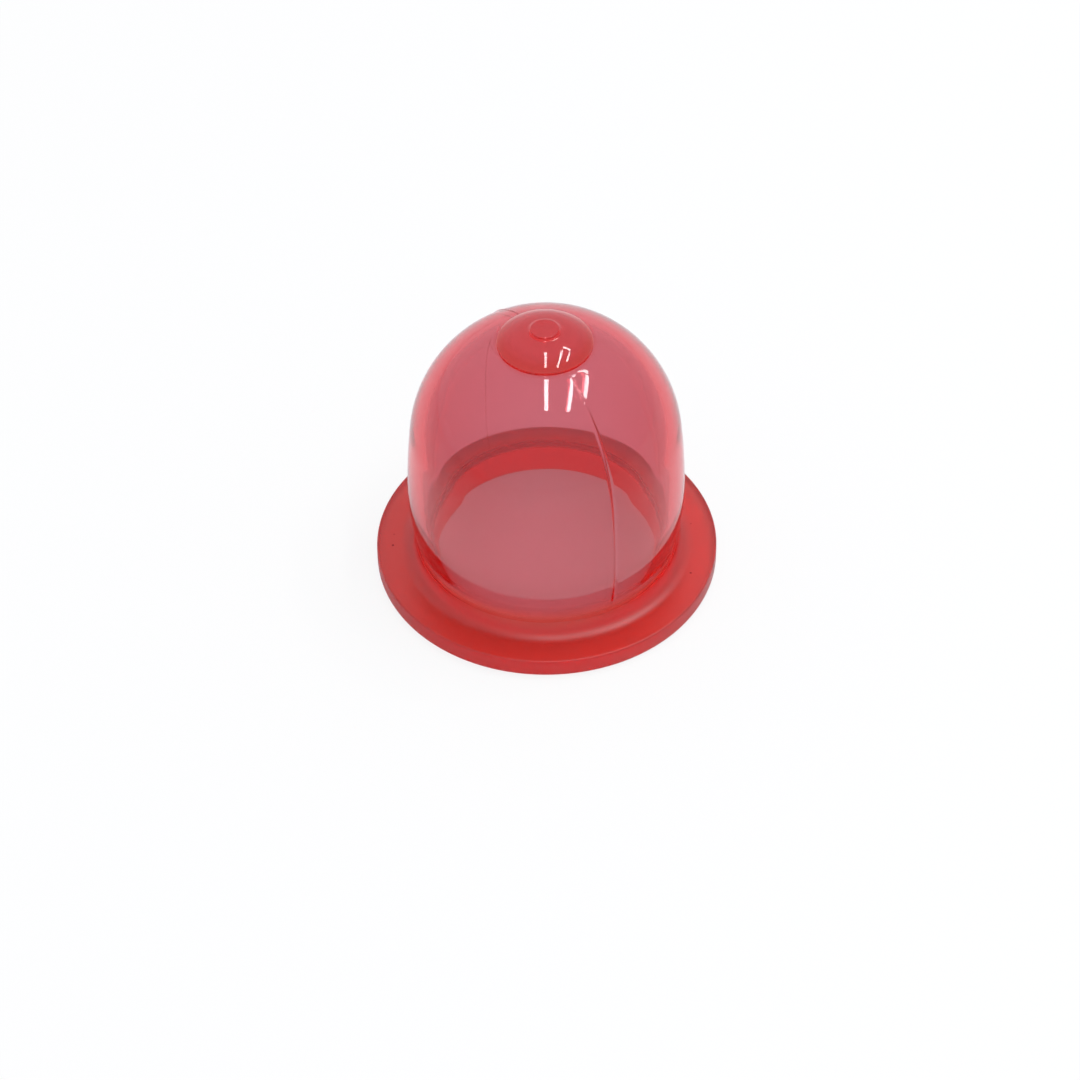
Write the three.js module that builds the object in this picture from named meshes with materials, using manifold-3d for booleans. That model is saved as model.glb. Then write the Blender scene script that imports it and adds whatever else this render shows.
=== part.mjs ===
// A primer bulb for a small engine's carburettor: one moulding of clear red polyurethane.
// A thin domed bulb stands on a flange, with a thicker push pad at its crown.
// The frame is +Z up, in millimetres. The origin is the centre of the flange's underside.
// The mould's parting plane passes through the Z axis and leaves a fine ridge on the bulb.

import * as THREE from 'three';
import { mergeVertices } from 'three/addons/utils/BufferGeometryUtils.js';
import Module from 'manifold-3d';

// Flange
const flangeReach = 2.15; // how far it stands out past the widest ring of the barrel
const flangeThickness = 1.4;
const flangeUnderRound = 0.4; // rounding of its lower outer edge
const flangeTopRound = 0.12; // rounding of its upper outer edge

// Barrel, which swells from a waist just above the flange
const barrelRadius = 8.85; // at the widest ring
const widestHeight = 6.3;
const waistDepth = 0.46; // how much narrower the waist is than the widest ring
const footFillet = 1.1; // hollow curve between the waist and the flange's top

// Upper barrel and dome
const upperBarrelRadius = 46; // of the slow curve that draws the barrel in
const upperBarrelLength = 4.95; // from the widest ring up to the start of the dome

// Push pad
const padRadius = 3;
const padStep = 0.26; // height of its edge above the dome
const padRise = 1; // height of its crown above its edge
const padEdgeRound = 0.2;

// Gate mark, where the moulding was cut from its runner
const gateRadius = 0.9;
const gateStep = 0.12;

// Cavity
const barrelWall = 1.5; // at the widest ring
const crownWall = 0.6; // of the dome, beside the pad
const mouthRound = 0.5;

// Parting ridge
const ridgeHeight = 0.08;
const ridgeWidth = 0.12;
const ridgeRoot = 0.3; // depth that it runs into the wall
const ridgeBearing = 29; // degrees from the front, towards +X

// Facets round the axis, and the largest turn between two points of an arc
const facets = 84;
const arcStep = 8; // degrees

const polar = (centre, radius, angle) =>
  new THREE.Vector2(centre.x + radius * Math.cos(angle), centre.y + radius * Math.sin(angle));

// The points of an arc, both ends included, with no step larger than arcStep.
function arc(centre, radius, from, to, step = arcStep) {
  const turn = to - from;
  const count = Math.max(1, Math.ceil(Math.abs(turn) / THREE.MathUtils.degToRad(step)));
  return Array.from({ length: count + 1 }, (_, i) => polar(centre, radius, from + (turn * i) / count));
}

const bearingOf = (from, to) => Math.atan2(to.y - from.y, to.x - from.x);

// The lower barrel is an arc that is upright at the widest ring and has its waist at the fillet's top.
const waistRise = widestHeight - flangeThickness - footFillet;
const lowerBarrelRadius = (waistRise ** 2 + waistDepth ** 2) / (2 * waistDepth);
const lowerBarrelCentre = new THREE.Vector2(barrelRadius - lowerBarrelRadius, widestHeight);

// The foot's fillet touches the flange's top and the lower barrel.
const filletHeight = flangeThickness + footFillet;
const filletReach = Math.sqrt(
  (lowerBarrelRadius + footFillet) ** 2 - (widestHeight - filletHeight) ** 2,
);
const filletCentre = new THREE.Vector2(lowerBarrelCentre.x + filletReach, filletHeight);
const waistBearing = bearingOf(lowerBarrelCentre, filletCentre);

// The dome is part of a sphere that runs on smoothly from the upper barrel.
const upperBarrelCentre = new THREE.Vector2(barrelRadius - upperBarrelRadius, widestHeight);
const domeBearing = Math.asin(upperBarrelLength / upperBarrelRadius);
const domeStart = polar(upperBarrelCentre, upperBarrelRadius, domeBearing);
const domeRadius = domeStart.x / Math.cos(domeBearing);
const domeCentre = new THREE.Vector2(0, domeStart.y - domeRadius * Math.sin(domeBearing));
const padBearing = Math.acos(padRadius / domeRadius);

// The pad's crown is a cap through its edge ring and its middle.
const padEdgeHeight = domeCentre.y + domeRadius * Math.sin(padBearing) + padStep;
const padCrownRadius = (padRadius ** 2 + padRise ** 2) / (2 * padRise);
const padCrownCentre = new THREE.Vector2(0, padEdgeHeight + padRise - padCrownRadius);
const padEdgeReach = padRadius - padEdgeRound;
const padEdgeRise = Math.sqrt((padCrownRadius - padEdgeRound) ** 2 - padEdgeReach ** 2);
const padEdgeCentre = new THREE.Vector2(padEdgeReach, padCrownCentre.y + padEdgeRise);
const gateBearing = Math.acos(gateRadius / padCrownRadius);
const gateFoot = polar(padCrownCentre, padCrownRadius, gateBearing);

// The cavity is a straight bore under a round roof.
const flangeRadius = barrelRadius + flangeReach;
const cavityRadius = barrelRadius - barrelWall;
const roofCentre = new THREE.Vector2(0, domeCentre.y + domeRadius - crownWall - cavityRadius);

// The outside of the bulb from the waist up to a bearing on the dome, set off by a distance.
function bulbSide(offset, topBearing) {
  return [
    ...arc(lowerBarrelCentre, lowerBarrelRadius + offset, waistBearing, 0, arcStep / 2),
    ...arc(upperBarrelCentre, upperBarrelRadius + offset, 0, domeBearing, arcStep / 2).slice(1),
    ...arc(domeCentre, domeRadius + offset, domeBearing, topBearing).slice(1),
  ];
}

// The cavity's side, from its roof on the axis down to the rounded mouth.
function cavitySide() {
  const mouthCentre = new THREE.Vector2(cavityRadius + mouthRound, mouthRound);
  return [
    ...arc(roofCentre, cavityRadius, Math.PI / 2, 0),
    ...arc(mouthCentre, mouthRound, Math.PI, 1.5 * Math.PI, 4 * arcStep),
  ];
}

// The flange's edge, from its underside round to its flat top.
function flangeSide() {
  const underCentre = new THREE.Vector2(flangeRadius - flangeUnderRound, flangeUnderRound);
  const topCentre = new THREE.Vector2(flangeRadius - flangeTopRound, flangeThickness - flangeTopRound);
  return [
    ...arc(underCentre, flangeUnderRound, -Math.PI / 2, 0, 3 * arcStep),
    ...arc(topCentre, flangeTopRound, 0, Math.PI / 2, 6 * arcStep),
  ];
}

// The pad from its foot on the dome to the gate mark on the axis.
function padSide() {
  const edgeEnd = bearingOf(padCrownCentre, padEdgeCentre);
  return [
    ...arc(padEdgeCentre, padEdgeRound, 0, edgeEnd, 3 * arcStep),
    ...arc(padCrownCentre, padCrownRadius, edgeEnd, gateBearing).slice(1),
    new THREE.Vector2(gateFoot.x, gateFoot.y + gateStep),
    new THREE.Vector2(0, gateFoot.y + gateStep),
  ];
}

// The whole section turned about the axis, from the cavity's roof out and up to the gate mark.
function turnedBulb() {
  const filletTop = bearingOf(filletCentre, lowerBarrelCentre);
  const section = [
    ...cavitySide(),
    ...flangeSide(),
    ...arc(filletCentre, footFillet, 1.5 * Math.PI, filletTop, 2 * arcStep).slice(0, -1),
    ...bulbSide(0, padBearing),
    ...padSide(),
  ];
  return new THREE.LatheGeometry(section, facets).rotateX(Math.PI / 2);
}

// A thin rib up the bulb's side in the parting plane, rooted in the wall, the flange and the pad.
function partingRidge(bearing) {
  const topBearing = Math.acos((padRadius - ridgeRoot) / domeRadius);
  const footed = (side) => [new THREE.Vector2(side[0].x, flangeThickness - ridgeRoot), ...side];
  const outside = footed(bulbSide(ridgeHeight, topBearing));
  const inside = footed(bulbSide(-ridgeRoot, topBearing));
  const outline = new THREE.Shape([...outside, ...inside.reverse()]);
  return new THREE.ExtrudeGeometry(outline, { depth: ridgeWidth, bevelEnabled: false })
    .translate(0, 0, -ridgeWidth / 2)
    .rotateX(Math.PI / 2)
    .rotateZ(THREE.MathUtils.degToRad(bearing - 90));
}

// A closed geometry as a solid that can be joined, without the flat triangles at the poles.
function solidOf(wasm, geometry) {
  geometry.deleteAttribute('normal');
  geometry.deleteAttribute('uv');
  const merged = mergeVertices(geometry, 1e-4);
  const corners = Array.from(merged.index.array);
  const triangles = [];
  for (let i = 0; i < corners.length; i += 3) {
    const [a, b, c] = corners.slice(i, i + 3);
    if (a !== b && b !== c && c !== a) triangles.push(a, b, c);
  }
  return new wasm.Manifold(
    new wasm.Mesh({
      numProp: 3,
      vertProperties: new Float32Array(merged.attributes.position.array),
      triVerts: new Uint32Array(triangles),
    }),
  );
}

function geometryOf(solid) {
  const mesh = solid.getMesh();
  const geometry = new THREE.BufferGeometry();
  geometry.setAttribute('position', new THREE.BufferAttribute(mesh.vertProperties, 3));
  geometry.setIndex(new THREE.BufferAttribute(mesh.triVerts, 1));
  geometry.computeVertexNormals();
  return geometry;
}

async function mouldedBulb() {
  const wasm = await Module();
  wasm.setup();
  const bulb = solidOf(wasm, turnedBulb())
    .add(solidOf(wasm, partingRidge(ridgeBearing)))
    .add(solidOf(wasm, partingRidge(ridgeBearing + 180)));
  const polyurethane = new THREE.MeshStandardMaterial({
    color: 0xc4454a,
    roughness: 0.12,
    metalness: 0,
    transparent: true,
    opacity: 0.55,
  });
  const mesh = new THREE.Mesh(geometryOf(bulb), polyurethane);
  mesh.name = 'primer_bulb';
  return mesh;
}

const group = new THREE.Group();
group.add(await mouldedBulb());

export default group;
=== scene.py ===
import math

import bmesh
import bpy
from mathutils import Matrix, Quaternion, Vector


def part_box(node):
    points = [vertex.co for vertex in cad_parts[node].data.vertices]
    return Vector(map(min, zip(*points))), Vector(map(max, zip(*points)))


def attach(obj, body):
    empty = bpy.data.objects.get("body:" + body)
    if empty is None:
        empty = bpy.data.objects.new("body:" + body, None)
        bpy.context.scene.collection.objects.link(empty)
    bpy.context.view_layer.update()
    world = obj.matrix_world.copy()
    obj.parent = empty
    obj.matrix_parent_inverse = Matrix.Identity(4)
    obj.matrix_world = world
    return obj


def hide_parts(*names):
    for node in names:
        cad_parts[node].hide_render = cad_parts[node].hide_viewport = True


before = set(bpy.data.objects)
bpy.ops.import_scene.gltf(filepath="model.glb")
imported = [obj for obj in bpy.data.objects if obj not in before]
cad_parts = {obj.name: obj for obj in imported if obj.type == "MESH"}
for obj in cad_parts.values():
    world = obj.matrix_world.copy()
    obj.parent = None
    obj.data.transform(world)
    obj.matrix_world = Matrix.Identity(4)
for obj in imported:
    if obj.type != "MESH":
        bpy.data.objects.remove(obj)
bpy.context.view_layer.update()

MM = 0.001

# Sizes of the moulding, in millimetres. The outside is as in the part's own source, but for a
# lower ridge and a pad whose step, shoulder and edges are rounder. The wall is thin and even here,
# as the floor and the foot look through it, where the source has a straight bore.
FLANGE_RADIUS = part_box("primer_bulb")[1].x / MM
FLANGE_REACH = 2.15
FLANGE_THICKNESS = 1.4
FLANGE_UNDER_ROUND = 0.4
FLANGE_TOP_ROUND = 0.12
BARREL_RADIUS = FLANGE_RADIUS - FLANGE_REACH
WIDEST_HEIGHT = 6.3
WAIST_DEPTH = 0.46
FOOT_FILLET = 1.1
UPPER_BARREL_RADIUS = 46
UPPER_BARREL_LENGTH = 4.95
PAD_RADIUS = 3
PAD_STEP = 0.11
PAD_EDGE_ROUND = 0.15
PAD_SHOULDER_RADIUS = 3.4
PAD_CROWN_RADIUS = 6
PAD_CROWN_REACH = 1.64
PAD_FOOT_ROUND = 0.06
GATE_RADIUS = 0.9
GATE_STEP = 0.12
GATE_EDGE_ROUND = 0.05
BARREL_WALL = 0.9
CROWN_WALL = 0.8
MOUTH_ROUND = 0.3
RIDGE_HEIGHT = 0.045
RIDGE_WIDTH = 0.12
RIDGE_BEARING = math.radians(29)

# Fineness of the smooth mesh
TURN_STEPS = 240
ARC_STEP = math.radians(2.5)


def hex_colour(code, alpha=1.0):
    """An sRGB hex colour as Blender's linear values."""
    parts = [int(code[i:i + 2], 16) / 255 for i in (1, 3, 5)]
    linear = [p / 12.92 if p <= 0.04045 else ((p + 0.055) / 1.055) ** 2.4 for p in parts]
    return (*linear, alpha)


# The section of the moulding, as arcs from the cavity's roof round to the gate mark

def polar(centre, radius, angle):
    return (centre[0] + radius * math.cos(angle), centre[1] + radius * math.sin(angle))


def arc(centre, radius, start, end, step=ARC_STEP):
    count = max(1, math.ceil(abs(end - start) / step))
    return [polar(centre, radius, start + (end - start) * i / count) for i in range(count + 1)]


def bearing(start, end):
    return math.atan2(end[1] - start[1], end[0] - start[0])


def section():
    """Points (radius, height) of the section, and the heights between which the ridge runs."""
    turn = math.pi / 2
    waist_rise = WIDEST_HEIGHT - FLANGE_THICKNESS - FOOT_FILLET
    lower_radius = (waist_rise ** 2 + WAIST_DEPTH ** 2) / (2 * WAIST_DEPTH)
    lower_centre = (BARREL_RADIUS - lower_radius, WIDEST_HEIGHT)
    fillet_height = FLANGE_THICKNESS + FOOT_FILLET
    fillet_rise = WIDEST_HEIGHT - fillet_height
    fillet_reach = math.sqrt((lower_radius + FOOT_FILLET) ** 2 - fillet_rise ** 2)
    fillet_centre = (lower_centre[0] + fillet_reach, fillet_height)
    waist_bearing = bearing(lower_centre, fillet_centre)

    upper_centre = (BARREL_RADIUS - UPPER_BARREL_RADIUS, WIDEST_HEIGHT)
    dome_bearing = math.asin(UPPER_BARREL_LENGTH / UPPER_BARREL_RADIUS)
    dome_start = polar(upper_centre, UPPER_BARREL_RADIUS, dome_bearing)
    dome_radius = dome_start[0] / math.cos(dome_bearing)
    dome_centre = (0, dome_start[1] - dome_radius * math.sin(dome_bearing))
    pad_bearing = math.acos(PAD_RADIUS / dome_radius)
    foot_bearing = math.acos((PAD_RADIUS + PAD_FOOT_ROUND) / dome_radius)
    foot = polar(dome_centre, dome_radius, foot_bearing)
    foot_centre = (foot[0], foot[1] + PAD_FOOT_ROUND)

    edge_height = dome_centre[1] + dome_radius * math.sin(pad_bearing) + PAD_STEP
    edge_centre = (PAD_RADIUS - PAD_EDGE_ROUND, edge_height)
    shoulder_reach = PAD_CROWN_REACH * (1 - PAD_SHOULDER_RADIUS / PAD_CROWN_RADIUS)
    shoulder_span = edge_centre[0] - shoulder_reach
    shoulder_drop = math.sqrt((PAD_SHOULDER_RADIUS - PAD_EDGE_ROUND) ** 2 - shoulder_span ** 2)
    shoulder_centre = (shoulder_reach, edge_height - shoulder_drop)
    crown_drop = math.sqrt((PAD_CROWN_RADIUS - PAD_SHOULDER_RADIUS) ** 2 - shoulder_reach ** 2)
    crown_centre = (0, shoulder_centre[1] - crown_drop)
    edge_end = bearing(shoulder_centre, edge_centre)
    shoulder_end = bearing(crown_centre, shoulder_centre)
    gate_bearing = math.acos(GATE_RADIUS / PAD_CROWN_RADIUS)
    gate_foot = polar(crown_centre, PAD_CROWN_RADIUS, gate_bearing)
    gate_height = gate_foot[1] + GATE_STEP
    gate_centre = (GATE_RADIUS - GATE_EDGE_ROUND, gate_height - GATE_EDGE_ROUND)

    roof_height = dome_centre[1] + dome_radius - CROWN_WALL
    upper_cavity_radius = UPPER_BARREL_RADIUS - BARREL_WALL
    roof_rise = (WIDEST_HEIGHT + upper_cavity_radius - roof_height) / -upper_centre[0]
    roof_bearing = turn - 2 * math.atan(roof_rise)
    roof_centre = (0, WIDEST_HEIGHT - upper_centre[0] * math.tan(roof_bearing))
    bore_radius = fillet_centre[0] - FOOT_FILLET - BARREL_WALL
    mouth_centre = (bore_radius + MOUTH_ROUND, MOUTH_ROUND)
    under_centre = (FLANGE_RADIUS - FLANGE_UNDER_ROUND, FLANGE_UNDER_ROUND)
    top_centre = (FLANGE_RADIUS - FLANGE_TOP_ROUND, FLANGE_THICKNESS - FLANGE_TOP_ROUND)

    fine = 4 * ARC_STEP
    points = [
        *arc(roof_centre, roof_height - roof_centre[1], turn, roof_bearing),
        *arc(upper_centre, upper_cavity_radius, roof_bearing, 0, ARC_STEP / 4)[1:],
        *arc(lower_centre, lower_radius - BARREL_WALL, 0, waist_bearing, ARC_STEP / 2)[1:],
        *arc(fillet_centre, FOOT_FILLET + BARREL_WALL, waist_bearing + 2 * turn, 2 * turn)[1:],
        *arc(mouth_centre, MOUTH_ROUND, 2 * turn, 3 * turn, fine),
        *arc(under_centre, FLANGE_UNDER_ROUND, -turn, 0, fine),
        *arc(top_centre, FLANGE_TOP_ROUND, 0, turn, fine),
        *arc(fillet_centre, FOOT_FILLET, 3 * turn, bearing(fillet_centre, lower_centre),
             2 * ARC_STEP)[:-1],
        *arc(lower_centre, lower_radius, waist_bearing, 0, ARC_STEP / 2),
        *arc(upper_centre, UPPER_BARREL_RADIUS, 0, dome_bearing, ARC_STEP / 4)[1:],
        *arc(dome_centre, dome_radius, dome_bearing, foot_bearing)[1:],
        *arc(foot_centre, PAD_FOOT_ROUND, -turn, -2 * turn, fine),
        *arc(edge_centre, PAD_EDGE_ROUND, 0, edge_end, fine),
        *arc(shoulder_centre, PAD_SHOULDER_RADIUS, edge_end, shoulder_end)[1:],
        *arc(crown_centre, PAD_CROWN_RADIUS, shoulder_end, gate_bearing)[1:],
        *arc(gate_centre, GATE_EDGE_ROUND, 0, turn, 2 * fine),
        (0, gate_height),
    ]
    return points, fillet_height, foot[1]


def turned(bm, points, plane):
    """Spins the section once round the Z axis, starting in the plane of the given direction."""
    verts = [bm.verts.new((plane.x * r * MM, plane.y * r * MM, z * MM)) for r, z in points]
    edges = [bm.edges.new(pair) for pair in zip(verts, verts[1:])]
    bmesh.ops.spin(bm, geom=verts + edges, cent=(0, 0, 0), axis=(0, 0, 1), angle=2 * math.pi,
                   steps=TURN_STEPS, use_merge=True, use_duplicate=False)
    bmesh.ops.remove_doubles(bm, verts=bm.verts[:], dist=0.001 * MM)


def raise_ridge(bm, plane, low, high):
    """Pulls the mesh out along the parting plane into a fine ridge, between two heights."""
    across = Vector((-plane.y, plane.x, 0))
    half = RIDGE_WIDTH * MM / 2
    for side in (-half, half):
        geom = bm.verts[:] + bm.edges[:] + bm.faces[:]
        bmesh.ops.bisect_plane(bm, geom=geom, dist=1e-8, plane_co=across * side, plane_no=across)
    bmesh.ops.recalc_face_normals(bm, faces=bm.faces[:])
    bm.normal_update()
    middle = Vector((0, 0, WIDEST_HEIGHT * MM))
    for vert in bm.verts:
        in_plane = abs(vert.co.dot(across)) < 1e-7
        outside = vert.normal.dot(vert.co - middle) > 0
        in_reach = math.hypot(vert.co.x, vert.co.y) > PAD_RADIUS * MM
        if in_plane and outside and in_reach and low * MM < vert.co.z < high * MM:
            vert.co += vert.normal * RIDGE_HEIGHT * MM


def finished(bm, name, material):
    mesh = bpy.data.meshes.new(name)
    for face in bm.faces:
        face.smooth = True
    bm.to_mesh(mesh)
    bm.free()
    piece = bpy.data.objects.new(name, mesh)
    bpy.context.scene.collection.objects.link(piece)
    mesh.materials.append(material)
    return piece


def moulded_bulb(material):
    points, ridge_low, ridge_high = section()
    plane = Vector((math.sin(RIDGE_BEARING), -math.cos(RIDGE_BEARING), 0))
    bm = bmesh.new()
    turned(bm, points, plane)
    raise_ridge(bm, plane, ridge_low, ridge_high)
    return finished(bm, "clear_bulb", material)


# Materials

def add_node(tree, kind, settings=None, inputs=None, links=None):
    """Adds a node with its properties, inputs, and links from other nodes' outputs."""
    node = tree.nodes.new(kind)
    for key, value in (settings or {}).items():
        setattr(node, key, value)
    for key, value in (inputs or {}).items():
        node.inputs[key].default_value = value
    for key, (source, output) in (links or {}).items():
        tree.links.new(source.outputs[output], node.inputs[key])
    return node


def new_material(name):
    material = bpy.data.materials.new(name)
    material.use_nodes = True
    material.node_tree.nodes.clear()
    return material, material.node_tree


def smooth(tree, value, near, far, low=0.0, high=1.0):
    """A smooth step from low to high as the value goes from near to far."""
    return add_node(tree, "ShaderNodeMapRange", {"interpolation_type": "SMOOTHSTEP"},
                    {"From Min": near, "From Max": far, "To Min": low, "To Max": high},
                    {"Value": value})


def reach_from(tree, place, point):
    """The distance from a point given in millimetres."""
    return add_node(tree, "ShaderNodeVectorMath", {"operation": "DISTANCE"},
                    {1: tuple(c * MM for c in point)}, {0: (place, "Object")})


def blend(tree, share, first, second):
    """Two colours mixed by a share. Each is a hex code or a colour node."""
    inputs, links = {}, {0: (share, 0)}
    for key, colour in ((6, first), (7, second)):
        if isinstance(colour, str):
            inputs[key] = hex_colour(colour)
        else:
            links[key] = (colour, 2)
    return add_node(tree, "ShaderNodeMix", {"data_type": "RGBA"}, inputs, links)


# Tints of the moulding's skin, and of a depth of it. The foot's and the pad's tints are painted
# shade.
WALL_TINT = "#E6F5FF"
FOOT_PAINTED_SHADE = "#F9CBB1"
PAD_PAINTED_SHADE = "#E7ADA2"
PAD_RIM_PAINTED_SHADE = "#DA5030"
SPECK_TINT = "#3F2727"
DEPTH_TINT = "#FE3045"
DEPTH_DENSITY = 1100.0  # per metre

# Heights between which the painted shade of the foot and of the pad comes in, and how far inside
# the pad's rim its darker painted shade reaches, in millimetres
FOOT_SHADE_TOP = 3.8
FOOT_SHADE_FULL = 2.0
FOOT_HAZE_TOP = 2.9
FOOT_HAZE_FULL = 2.1
PAD_SHADE_START = 18.3
PAD_SHADE_FULL = 18.5
PAD_RIM_SHADE_WIDTH = 1.1
PAD_RIM_SHADE_FULL = 0.2

# Dark specks on the flange's top, as (place in millimetres, radius in millimetres, strength)
SPECKS = [((-9.96, -0.44, 1.4), 0.10, 0.9), ((-9.90, 0.57, 1.4), 0.08, 0.4),
          ((9.39, 1.31, 1.4), 0.08, 0.4), ((9.23, -3.21, 1.4), 0.10, 0.7)]


def clear_red_polyurethane():
    """Clear polyurethane elastomer, injection moulded against a polished tool and tinted red.

    The tint lies in the depth of the wall, so thin walls look pink and the thick flange deep red;
    painted shade makes the foot redder and the pad deep red, darkest round its rim.
    """
    material, tree = new_material("clear_red_polyurethane_moulded")
    place = add_node(tree, "ShaderNodeTexCoord")
    height = add_node(tree, "ShaderNodeSeparateXYZ", links={"Vector": (place, "Object")})

    # Flow marks about 3 mm across: the gloss is uneven and reflections waver a little
    flow = add_node(tree, "ShaderNodeTexNoise", inputs={"Scale": 1 / (3 * MM), "Detail": 2.0},
                    links={"Vector": (place, "Object")})
    gloss = add_node(tree, "ShaderNodeMapRange", inputs={"To Min": 0.015, "To Max": 0.06},
                     links={"Value": (flow, "Fac")})
    skin = add_node(tree, "ShaderNodeBump", inputs={"Strength": 0.15, "Distance": 0.02 * MM},
                    links={"Height": (flow, "Fac")})

    # The foot and the flange are hazier than the bulb, so that no lamp shows sharply there
    haze = add_node(tree, "ShaderNodeMapRange",
                    inputs={"From Min": FOOT_HAZE_TOP * MM, "From Max": FOOT_HAZE_FULL * MM,
                            "To Min": 0.0, "To Max": 0.32},
                    links={"Value": (height, "Z")})
    gloss = add_node(tree, "ShaderNodeMath", {"operation": "ADD"},
                     links={0: (gloss, 0), 1: (haze, 0)})

    # Painted shade: the foot is painted redder than the wall, fully below the lower height and
    # fading out by the upper one
    foot = smooth(tree, (height, "Z"), FOOT_SHADE_FULL * MM, FOOT_SHADE_TOP * MM, 1.0, 0.0)
    colour = blend(tree, foot, WALL_TINT, FOOT_PAINTED_SHADE)
    # Painted shade: the pad is painted deep red, darkest round its rim, for the dark crescent
    # along its edge
    rim_shade = smooth(tree, (reach_from(tree, place, (0, 0, PAD_SHADE_FULL)), "Value"),
                 (PAD_RADIUS - PAD_RIM_SHADE_WIDTH) * MM, (PAD_RADIUS - PAD_RIM_SHADE_FULL) * MM)
    pad_shade = smooth(tree, (height, "Z"), PAD_SHADE_START * MM, PAD_SHADE_FULL * MM)
    colour = blend(tree, pad_shade, colour, blend(tree, rim_shade, PAD_PAINTED_SHADE, PAD_RIM_PAINTED_SHADE))

    # Specks of dirt about 0.2 mm across look like dark dots on the flange
    for spot, radius, strength in SPECKS:
        dirt = smooth(tree, (reach_from(tree, place, spot), "Value"),
                      0.5 * radius * MM, radius * MM, strength, 0.0)
        colour = blend(tree, dirt, colour, SPECK_TINT)

    surface = add_node(tree, "ShaderNodeBsdfPrincipled",
                       inputs={"IOR": 1.5, "Transmission Weight": 1.0},
                       links={"Base Color": (colour, 2), "Roughness": (gloss, 0),
                              "Normal": (skin, "Normal")})
    depth = add_node(tree, "ShaderNodeVolumeAbsorption",
                     inputs={"Color": hex_colour(DEPTH_TINT), "Density": DEPTH_DENSITY})
    add_node(tree, "ShaderNodeOutputMaterial",
             links={"Surface": (surface, "BSDF"), "Volume": (depth, "Volume")})
    return material


# Shares of plain white in the floor, seen by the eye and seen through the bulb
FLOOR_WHITE_SEEN = 0.85
FLOOR_WHITE_THROUGH = 0.18


def white_floor():
    """Studio board painted matt white.

    It looks white to the eye, keeps the bulb's soft shadow, and is a little brighter through it.
    """
    material, tree = new_material("white_studio_board")
    path = add_node(tree, "ShaderNodeLightPath")
    direct = add_node(tree, "ShaderNodeMath", {"operation": "MULTIPLY"}, {1: FLOOR_WHITE_SEEN},
                      {0: (path, "Is Camera Ray")})
    share = add_node(tree, "ShaderNodeMath", {"operation": "MULTIPLY_ADD"},
                     {1: FLOOR_WHITE_THROUGH}, {0: (path, "Is Transmission Ray"), 2: (direct, 0)})
    board = add_node(tree, "ShaderNodeBsdfDiffuse", inputs={"Color": hex_colour("#F0F0F0")})
    glow = add_node(tree, "ShaderNodeEmission", inputs={"Strength": 1.0})
    mixed = add_node(tree, "ShaderNodeMixShader",
                     links={0: (share, 0), 1: (board, 0), 2: (glow, 0)})
    add_node(tree, "ShaderNodeOutputMaterial", links={"Surface": (mixed, 0)})
    return material


# Studio

# Film of air under the flange, in millimetres. Without it the light that runs down the wall
# leaves through the floor, and the bulb's edges turn black.
FLOOR_GAP = 0.05
FLOOR_RADIUS = 0.6  # metres
WORLD_LIGHT = 0.72  # strength with which the world lights the bulb


def studio_floor():
    bm = bmesh.new()
    bmesh.ops.create_circle(bm, cap_ends=True, segments=64, radius=FLOOR_RADIUS)
    bmesh.ops.translate(bm, verts=bm.verts[:], vec=(0, 0, -FLOOR_GAP * MM))
    floor = finished(bm, "studio_floor", white_floor())


def white_world():
    """A pale tent all round, which shows as white to the eye, in gloss and through the bulb."""
    world = bpy.data.worlds.new("white_studio")
    bpy.context.scene.world = world
    world.use_nodes = True
    tree = world.node_tree
    tree.nodes.clear()
    path = add_node(tree, "ShaderNodeLightPath")
    seen = add_node(tree, "ShaderNodeMath", {"operation": "MAXIMUM"},
                    links={0: (path, "Is Camera Ray"), 1: (path, "Is Transmission Ray")})
    seen = add_node(tree, "ShaderNodeMath", {"operation": "MAXIMUM"},
                    links={0: (seen, 0), 1: (path, "Is Glossy Ray")})
    strength = add_node(tree, "ShaderNodeMath", {"operation": "MULTIPLY_ADD"},
                        {1: 1 - WORLD_LIGHT, 2: WORLD_LIGHT}, {0: (seen, 0)})
    tent = add_node(tree, "ShaderNodeBackground", inputs={"Color": hex_colour("#F2F6FF")},
                    links={"Strength": (strength, 0)})
    add_node(tree, "ShaderNodeOutputWorld", links={"Surface": (tent, 0)})


def strip_light(name, place, turn, width, length, power):
    """A long narrow lamp facing down. Its long side runs front to back before the turn about Z."""
    data = bpy.data.lights.new(name, "AREA")
    data.shape = "RECTANGLE"
    data.size = width
    data.size_y = length
    data.energy = power
    lamp = bpy.data.objects.new(name, data)
    lamp.location = place
    lamp.rotation_euler.z = math.radians(turn)
    bpy.context.scene.collection.objects.link(lamp)


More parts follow.
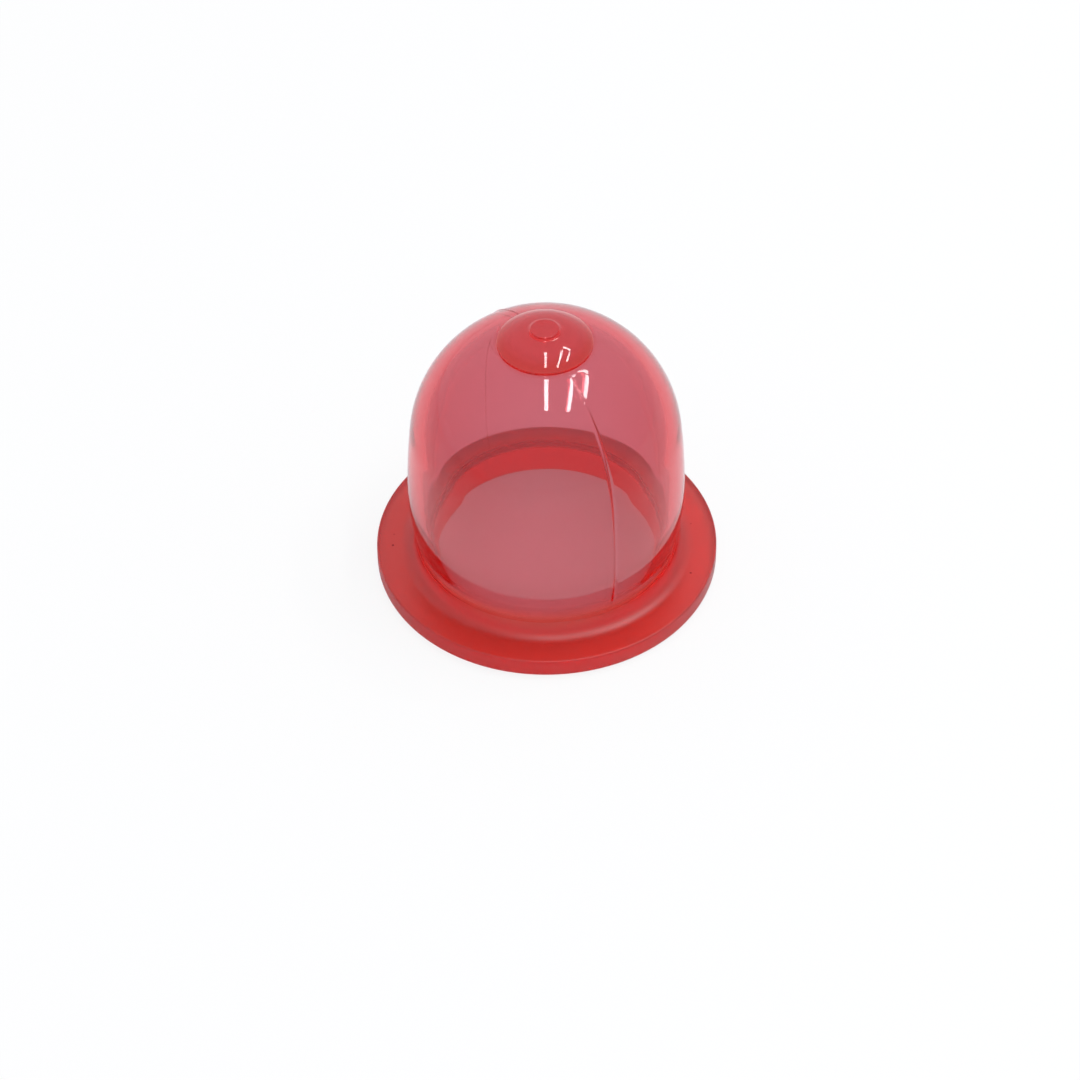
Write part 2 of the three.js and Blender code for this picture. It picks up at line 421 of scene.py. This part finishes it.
# Camera, fitted to the photograph's outline of the flange and the bulb
CAMERA_ELEVATION = math.radians(43.61)
CAMERA_DISTANCE = 250 * MM
CAMERA_TARGET_HEIGHT = 8 * MM
CAMERA_ROLL = math.radians(-0.617)
PIXELS_PER_MM = 15.708
TARGET_RIGHT_OF_CENTRE = 6.70 / PIXELS_PER_MM * MM
TARGET_ABOVE_CENTRE = 74.62 / PIXELS_PER_MM * MM
IMAGE_WIDTH = 1080
SENSOR_WIDTH = 36


def camera():
    rise = Vector((0, math.sin(CAMERA_ELEVATION), math.cos(CAMERA_ELEVATION)))
    back = Vector((0, -math.cos(CAMERA_ELEVATION), math.sin(CAMERA_ELEVATION)))
    target = Vector((0, 0, CAMERA_TARGET_HEIGHT))
    data = bpy.data.cameras.new("photo_camera")
    data.sensor_width = SENSOR_WIDTH
    data.lens = PIXELS_PER_MM * CAMERA_DISTANCE / MM / IMAGE_WIDTH * SENSOR_WIDTH
    data.clip_start = 0.01
    data.clip_end = 10
    view = bpy.data.objects.new("photo_camera", data)
    view.location = target + back * CAMERA_DISTANCE
    aim = target - Vector((TARGET_RIGHT_OF_CENTRE, 0, 0)) - rise * TARGET_ABOVE_CENTRE
    view.rotation_mode = "QUATERNION"
    turn = (aim - view.location).to_track_quat("-Z", "Y")
    view.rotation_quaternion = turn @ Quaternion((0, 0, 1), CAMERA_ROLL)
    bpy.context.scene.collection.objects.link(view)
    bpy.context.scene.camera = view


bulb = moulded_bulb(clear_red_polyurethane())
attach(bulb, "root")
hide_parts("primer_bulb")

studio_floor()
white_world()

# Two tubes overhead, one straight and one bent, whose reflections lie on the dome and the pad
strip_light("straight_tube", (0.005, -0.051, 0.40), 0, 0.02, 0.24, 0.3)
strip_light("bent_tube_left_arm", (0.142, -0.035, 0.40), 0, 0.02, 0.27, 0.34)
strip_light("bent_tube_right_arm", (0.237, 0.02, 0.40), 0, 0.024, 0.16, 0.24)
strip_light("bent_tube_end", (0.190, 0.135, 0.40), 78, 0.024, 0.10, 0.15)
camera()

scene = bpy.context.scene
scene.view_settings.view_transform = "Standard"
scene.cycles.max_bounces = 40
scene.cycles.glossy_bounces = 32
scene.cycles.transmission_bounces = 32
